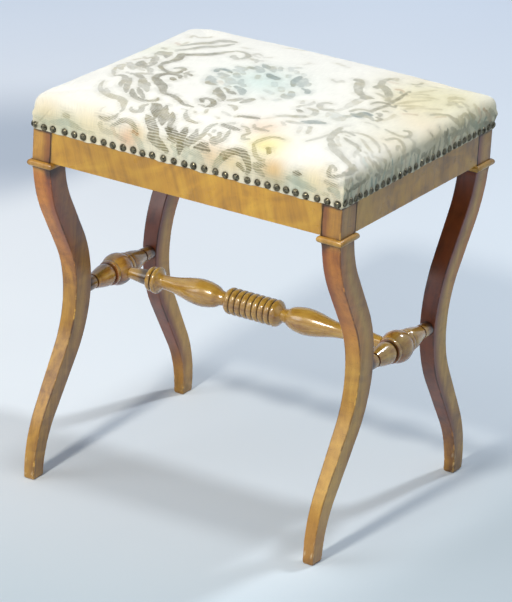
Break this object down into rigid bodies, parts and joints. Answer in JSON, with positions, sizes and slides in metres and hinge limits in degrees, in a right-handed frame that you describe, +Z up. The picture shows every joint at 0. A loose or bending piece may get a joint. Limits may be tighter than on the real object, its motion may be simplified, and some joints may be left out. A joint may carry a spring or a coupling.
{
  "type": "x frame stool",
  "caption": "Rectangular padded stool on paired curved wooden legs tied at the waist by turned stretchers, with a patterned nailed-on cover.",
  "frame": {"origin": "on the floor, below the middle of the seat", "axes": "+Z up, X along the seat's long side, -Y towards the front"},
  "size_m": [0.4528, 0.3804, 0.5191],
  "materials": {
    "show_wood": "aged french polish",
    "veneer": "aged french polish over figured veneer",
    "turned_wood": "glossy aged polish",
    "frame_wood": "plain sawn and planed",
    "seat_fabric": "woven scroll and leaf pattern on cream",
    "calico": "plain unbleached cotton",
    "hessian": "coarse jute cloth",
    "webbing": "herringbone jute tape",
    "stuffing": "curled hair"
  },
  "bodies": {
    "root": {"leg_front_right": "show_wood", "corner_block_front_right": "frame_wood", "collar_front_right_outer_face": "show_wood", "collar_front_right_inner_face": "show_wood", "collar_front_right_outer_side": "show_wood", "collar_front_right_inner_side": "show_wood", "leg_front_left": "show_wood", "corner_block_front_left": "frame_wood", "collar_front_left_outer_face": "show_wood", "collar_front_left_inner_face": "show_wood", "collar_front_left_outer_side": "show_wood", "collar_front_left_inner_side": "show_wood", "leg_back_right": "show_wood", "corner_block_back_right": "frame_wood", "collar_back_right_outer_face": "show_wood", "collar_back_right_inner_face": "show_wood", "collar_back_right_outer_side": "show_wood", "collar_back_right_inner_side": "show_wood", "leg_back_left": "show_wood", "corner_block_back_left": "frame_wood", "collar_back_left_outer_face": "show_wood", "collar_back_left_inner_face": "show_wood", "collar_back_left_outer_side": "show_wood", "collar_back_left_inner_side": "show_wood", "rail_front": "frame_wood", "rail_veneer_front": "veneer", "rail_back": "frame_wood", "rail_veneer_back": "veneer", "rail_right": "frame_wood", "rail_veneer_right": "veneer", "rail_left": "frame_wood", "rail_veneer_left": "veneer", "cross_stretcher_right": "turned_wood", "cross_stretcher_left": "turned_wood", "long_stretcher": "turned_wood", "webbing_long_1": "webbing", "webbing_long_2": "webbing", "webbing_long_3": "webbing", "webbing_long_4": "webbing", "webbing_cross_1": "webbing", "webbing_cross_2": "webbing", "webbing_cross_3": "webbing", "webbing_cross_4": "webbing", "webbing_cross_5": "webbing", "hessian": "hessian", "seat_padding": "stuffing", "calico_undercover": "calico", "seat_cover": "seat_fabric"}
  },
  "joints": []
}
